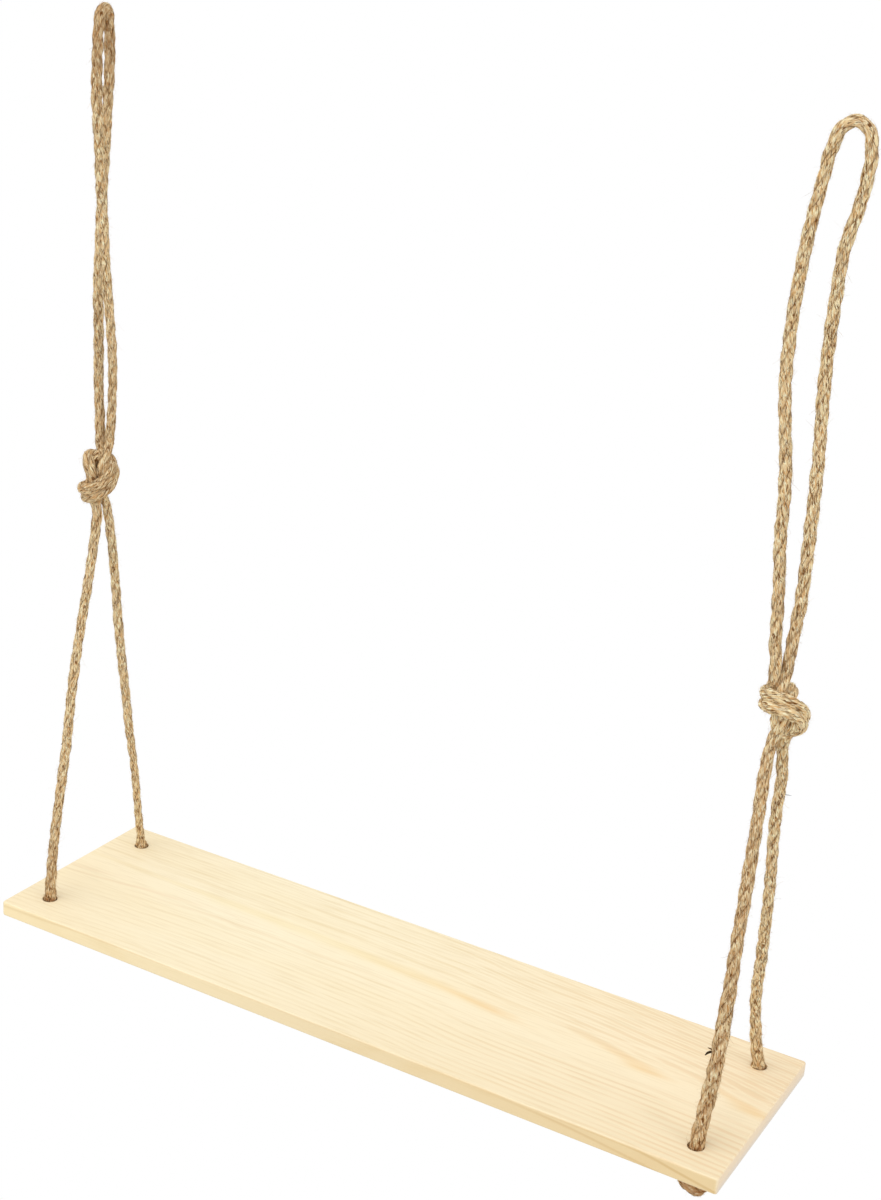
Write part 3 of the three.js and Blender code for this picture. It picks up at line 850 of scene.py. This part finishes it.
def bevel_edges(mesh, wanted, offset, segments):
    """Rounds the edges that pass a test on them and on their two faces' normals."""
    bpy.ops.object.mode_set(mode="EDIT")
    bpy.ops.mesh.select_mode(type="EDGE")
    bpy.ops.mesh.select_all(action="DESELECT")
    edit = bmesh.from_edit_mesh(mesh)
    for edge in edit.edges:
        if len(edge.link_faces) == 2 and wanted(edge, *(face.normal for face in edge.link_faces)):
            edge.select_set(True)
    bmesh.update_edit_mesh(mesh)
    bpy.ops.mesh.bevel(offset=offset * MM, segments=segments, affect="EDGES", clamp_overlap=False)
    bpy.ops.object.mode_set(mode="OBJECT")


def add_drill(x, y, middle):
    """A drill with a rounded flare at each face of the board, as sandpaper leaves a hole's rim."""
    half, radius = BOARD_THICKNESS / 2, HOLE_DIAMETER / 2
    length = 2 * (half + HOLE_RIM)
    bpy.ops.object.select_all(action="DESELECT")
    bpy.ops.mesh.primitive_cylinder_add(vertices=DRILL_SIDES, radius=radius * MM, depth=length * MM,
                                        location=(x * MM, y * MM, middle))
    drill = bpy.context.active_object
    bpy.ops.object.transform_apply(location=True, rotation=True, scale=True)
    flare = [(share * HOLE_RIM, HOLE_RIM * (1 - math.sqrt(1 - (1 - share) ** 2)))
             for share in (0.6, 0.3, 0)]
    for side in (-1, 1):
        for depth, wider in flare + [(-HOLE_RIM, HOLE_RIM)]:
            level = middle + side * (half - depth) * MM
            bpy.ops.object.mode_set(mode="EDIT")
            bpy.ops.mesh.select_mode(type="VERT")
            if depth > -HOLE_RIM:
                bpy.ops.mesh.select_all(action="SELECT")
                bpy.ops.mesh.bisect(plane_co=(0, 0, level), plane_no=(0, 0, 1))
            edit = bmesh.from_edit_mesh(drill.data)
            for vertex in edit.verts:
                vertex.select_set(abs(vertex.co.z - level) < 0.01 * MM)
            bmesh.update_edit_mesh(drill.data)
            bpy.ops.transform.resize(value=(1 + wider / radius, 1 + wider / radius, 1),
                                     center_override=(x * MM, y * MM, level))
            bpy.ops.object.mode_set(mode="OBJECT")
    return drill


def add_board():
    """The board as a block with rounded corners, edges and hole rims."""
    bpy.ops.object.select_all(action="DESELECT")
    middle = -(HOOK_LINE + BOARD_THICKNESS / 2) * MM
    bpy.ops.mesh.primitive_cube_add(size=MM, location=(0, 0, middle),
                                    scale=(BOARD_LENGTH, BOARD_WIDTH, BOARD_THICKNESS))
    board = bpy.context.active_object
    board.name = board.data.name = "pine_board"
    bpy.ops.object.transform_apply(location=True, rotation=True, scale=True)
    bevel_edges(board.data, is_upright, CORNER_RADIUS, CORNER_STEPS)
    bevel_edges(board.data, is_outer_rim, EDGE_ROUND, EDGE_STEPS)
    for x in (-HOLE_X, HOLE_X):
        for y in (-HOLE_Y, HOLE_Y):
            drill = add_drill(x, y, middle)
            drill.select_set(False)
            bpy.context.view_layer.objects.active = board
            hole = board.modifiers.new("hole", "BOOLEAN")
            hole.operation, hole.solver, hole.object = "DIFFERENCE", "EXACT", drill
            bpy.ops.object.modifier_apply(modifier=hole.name)
            bpy.data.objects.remove(drill)
    board.select_set(True)
    bpy.ops.object.shade_smooth()
    weighted = board.modifiers.new("flat_faces_lead", "WEIGHTED_NORMAL")
    weighted.weight = 100
    bpy.ops.object.modifier_apply(modifier=weighted.name)
    board.select_set(False)
    return board


# The grain, as values at places along the board: how far the heart line lies from the board's middle,
# how the rings before and behind it drift, how bold its lines, its flame and its tan bands are, and
# how deep the two lines along the front edge run
HEART = [(-200, 6), (-140, 8.2), (-86, 9.3), (0, 8), (68, 2), (146, -0.3), (200, -3)]
FRONT_DRIFT = [(-200, -1.5), (-167, -1), (-140, -0.4), (-86, 0), (68, 0.13), (200, 0.2)]
BACK_DRIFT = [(-200, -0.35), (-140, -0.1), (-86, 0), (68, 0.13), (146, 1.08), (200, 2.1)]
BOLDNESS = [(-200, 0.75), (-100, 0.75), (-33, 0.88), (33, 1), (100, 1.4), (167, 1.7), (200, 1.75)]
FLAME = [(-200, 0.3), (0, 0.4), (25, 0.55), (62, 0.65), (80, 0.3), (105, 0.45), (140, 0.65), (155, 0.35),
         (175, 0.6), (200, 0.9)]
TAN_BANDS = [(-200, 0.8), (-150, 0.9), (-70, 0.6), (0, 0.2), (60, 0), (200, 0)]
EDGE_LINE = [(-200, -2.4), (-170, -1.6), (-145, -0.6), (60, -0.4), (130, -0.4), (155, -0.6), (167, -1.5),
             (180, -3.6), (192, -5.6), (200, -6.8)]
LOW_LINE = [(60, -0.8), (115, -2.0), (150, -5.0), (175, -8.2)]

# How deep below the board's top the rings' heart lies before and behind the heart line, and how far
# apart the rings are
FRONT_HEART_DEPTH, BACK_HEART_DEPTH = 14.0, 30.0
FRONT_RING_GAP, BACK_RING_GAP, DEPTH_RING_GAP = 3.5, 3.85, 3.7


def growth_rings(pine, place, x, y, depth):
    """The count of rings about a heart below the board, so that faces, edges and ends agree, with how
    far a point lies behind the heart line and whether it is behind it."""
    wave = pine.drawn_out(place, 11, 26, 1)
    ripple = pine.drawn_out(place, 26, 120)
    spacing = pine.drawn_out(place, 2, 60, 1)
    from_heart = y - pine.curve(x, HEART) + pine.ramp(wave, 0, 1, -1.8, 1.8)
    behind = pine.ramp(from_heart, -6, 0, smooth=True)

    def half(heart_depth, gap, drift):
        deep = depth + heart_depth
        away = (from_heart * from_heart + deep * deep) ** 0.5
        return (away - deep) / gap + pine.curve(x, drift)

    front = half(FRONT_HEART_DEPTH, FRONT_RING_GAP, FRONT_DRIFT)
    back = half(BACK_HEART_DEPTH, BACK_RING_GAP, BACK_DRIFT)
    rings = front + (back - front) * behind + depth / DEPTH_RING_GAP
    rings = rings + pine.ramp(ripple, 0, 1, -0.24, 0.24) + pine.ramp(spacing, 0, 1, -0.4, 0.4)
    return rings, from_heart, behind


def front_edge(pine, tint, streak, x, y, depth):
    """The front face, darker as painted shade and warmer, with a darker line just under its top edge that
    bends down towards the right end, and a lower line that the rings draw.
    """
    face, edge = (pine.ramp(y, start - BOARD_WIDTH / 2, -BOARD_WIDTH / 2) for start in (0.3, 0.6))
    line = pine.ramp(abs(depth - pine.curve(x, EDGE_LINE)), 1.1, 0.2, smooth=True)
    line = line * pine.ramp(streak, 0.25, 0.6, 0.35, 1) * pine.ramp(x, 60, 180, 0.3, 0.65)
    low_line = pine.ramp(abs(depth - pine.curve(x, LOW_LINE)), 1, 0.2, smooth=True)
    return pine.coats(
        tint,
        # Painted shade: the front face darker, more so to the right, and warmer
        (face * pine.ramp(x, -200, 200, 0.05, 0.85), (234, 206, 154)),
        (face * pine.ramp(x, 0, -200, 0, 0.5), (255, 230, 174)),
        (edge * line, (206, 168, 104)),
        (edge * low_line * pine.ramp(x, 80, 120, 0, 0.4), (212, 176, 116)),
    )


def board_ends(pine, tint, x, depth):
    """The duller end grain, greyer towards its bottom as painted shade."""
    end = pine.ramp(abs(x), BOARD_LENGTH / 2 - 0.5, BOARD_LENGTH / 2, 0, 0.85)
    low = pine.ramp(depth, -3, -BOARD_THICKNESS)
    # The greyer colour towards the end's bottom is painted shade
    return pine.mix(end, tint, pine.mix(low, colour(243, 221, 192), colour(224, 216, 207)))


def pine_finish():
    """Pale pine, with late wood lines, a yellow flame behind the heart line and tan bands before it."""
    pine = Finish(bpy.data.materials.new("pine"))
    place = pine.node("ShaderNodeTexCoord", out="Object")
    x, y, z = (pine.node("ShaderNodeSeparateXYZ", (), {0: place}, out=axis) * 1000 for axis in "XYZ")
    depth = z + HOOK_LINE
    grain = pine.drawn_out(place, 36, 1500, 3)
    hairs = pine.drawn_out(place, 40, 800)
    broad = pine.drawn_out(place, 6, 34)
    streak = pine.drawn_out(place, 14, 160)
    strength = pine.drawn_out(place, 26, 210)

    rings, from_heart, behind = growth_rings(pine, place, x, y, depth)
    off_line = abs((rings + 0.5).past_whole() - 0.5)
    seam = from_heart + 3
    late = pine.ramp(off_line, 0.34, 0.03, smooth=True) * pine.ramp(seam * seam, 2, 30, 0.1, 1)
    between = pine.ramp(off_line, 0.26, 0.47, smooth=True) * pine.ramp(from_heart, 3, 16)
    near_back = pine.ramp(from_heart, 14, 3) * pine.ramp(from_heart, -3, 0)
    near_front = pine.ramp(from_heart, -14, -4) * pine.ramp(from_heart, 0, -3)
    tan_bands = pine.curve(x, TAN_BANDS)
    faint = (1 - near_back * pine.ramp(x, 0, 80, 0.6, 0.9)) * (1 - near_front * (1 - tan_bands))
    lines = (late * faint + between * 0.55) * pine.ramp(strength, 0.3, 0.65, 0.1, 0.5)
    lines = lines * pine.curve(x, BOLDNESS) * (behind * 0.4 + 0.85)
    lines = (lines * pine.ramp(hairs, 0.3, 0.6, 0.45, 1.1)).at_most(0.5)

    line_tint = pine.mix(pine.ramp(x, 0, 200), colour(232, 208, 156), colour(234, 198, 150))
    yellow = pine.mix(pine.ramp(x, -30, 60), colour(248, 226, 162), colour(244, 206, 144))
    flame = late * near_back * pine.curve(x, FLAME) * pine.ramp(streak, 0.25, 0.6, 0.4, 1)
    tint = pine.coats(
        pine.mix(pine.ramp(broad, 0.3, 0.7), colour(254, 242, 211), colour(253, 239, 204)),
        # Painted shade: the board darker and warmer towards its right end, as the light falls off
        (pine.ramp(x, -60, 200, 0, 0.6), (251, 229, 192)),
        (pine.ramp(x, -110, -200, 0, 0.5), (253, 233, 193)),
        # Painted shade: the board darker towards its front, more so to the right
        (pine.ramp(y, 10, -55) * pine.ramp(x, -200, 200, 0.2, 0.6), (240, 222, 184)),
        (lines, line_tint),
        (pine.ramp(hairs, 0.52, 0.68, 0, 0.3), (232, 212, 172)),
        (flame, yellow),
        (late * near_front * tan_bands * 0.4, (232, 190, 146)),
        (pine.ramp(grain, 0.45, 0.75, 0, 0.16), (232, 208, 164)),
    )
    tint = front_edge(pine, tint, streak, x, y, depth)
    tint = board_ends(pine, tint, x, depth)
    return pine.surface(Base_Color=tint, Roughness=pine.ramp(late, 0, 1, 0.62, 0.52),
                        Normal=pine.bump(lines * 0.5 + grain * 0.4, 0.00008, 0.6))


board = add_board()
board.data.materials.append(pine_finish())
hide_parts("board")
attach(board, "board")


# Light and setting, in metres and watts

FLOOR_SIZE, FLOOR_BELOW = 12.0, 1.6
ROOM_LEVEL = 0.75
LAMPS = (("key_light", (-1.35, -1.9, 2.5), 73.0, 4.8), ("end_fill", (2.2, -0.6, 0.3), 10.0, 1.2))
LAMP_AIM = Vector((0, 0, -0.35))
WHITE = (1.0, 1.0, 1.0, 1.0)


def add_floor():
    """A plain pale floor well below the shelf, white where the camera sees it straight."""
    bpy.ops.object.select_all(action="DESELECT")
    bpy.ops.mesh.primitive_plane_add(size=FLOOR_SIZE, location=(0, 0, -FLOOR_BELOW))
    floor = bpy.context.active_object
    floor.name = "studio_floor"
    floor.select_set(False)
    pale = Finish(bpy.data.materials.new("pale_floor"))
    floor.data.materials.append(pale.surface(Base_Color=colour(235, 235, 232), Roughness=0.9))
    seen = pale.node("ShaderNodeLightPath", out="Is Camera Ray")
    white = pale.node("ShaderNodeEmission", (), {"Color": WHITE, "Strength": 1.0})
    lit = Value(pale, pale.shader.outputs["BSDF"])
    shown = pale.node("ShaderNodeMixShader", (), {0: seen, 1: lit, 2: white})
    pale.put(pale.tree.nodes["Material Output"].inputs["Surface"], shown)


def add_lights():
    """A white room that lights the shelf evenly, with one large soft lamp and a small one at its end."""
    room = Finish(bpy.data.worlds.new("white_room"), "Background")
    bpy.context.scene.world = room.owner
    seen = room.node("ShaderNodeLightPath", out="Is Camera Ray")
    room.surface(Color=WHITE, Strength=room.ramp(seen, 0.0, 1.0, ROOM_LEVEL, 1.0))
    for name, place, power, size in LAMPS:
        lamp = bpy.data.objects.new(name, bpy.data.lights.new(name, "AREA"))
        lamp.data.energy = power
        lamp.data.size = size
        lamp.location = place
        lamp.rotation_euler = (LAMP_AIM - Vector(place)).to_track_quat("-Z", "Y").to_euler()
        bpy.context.scene.collection.objects.link(lamp)


add_floor()
add_lights()
bpy.context.scene.view_settings.view_transform = "Standard"
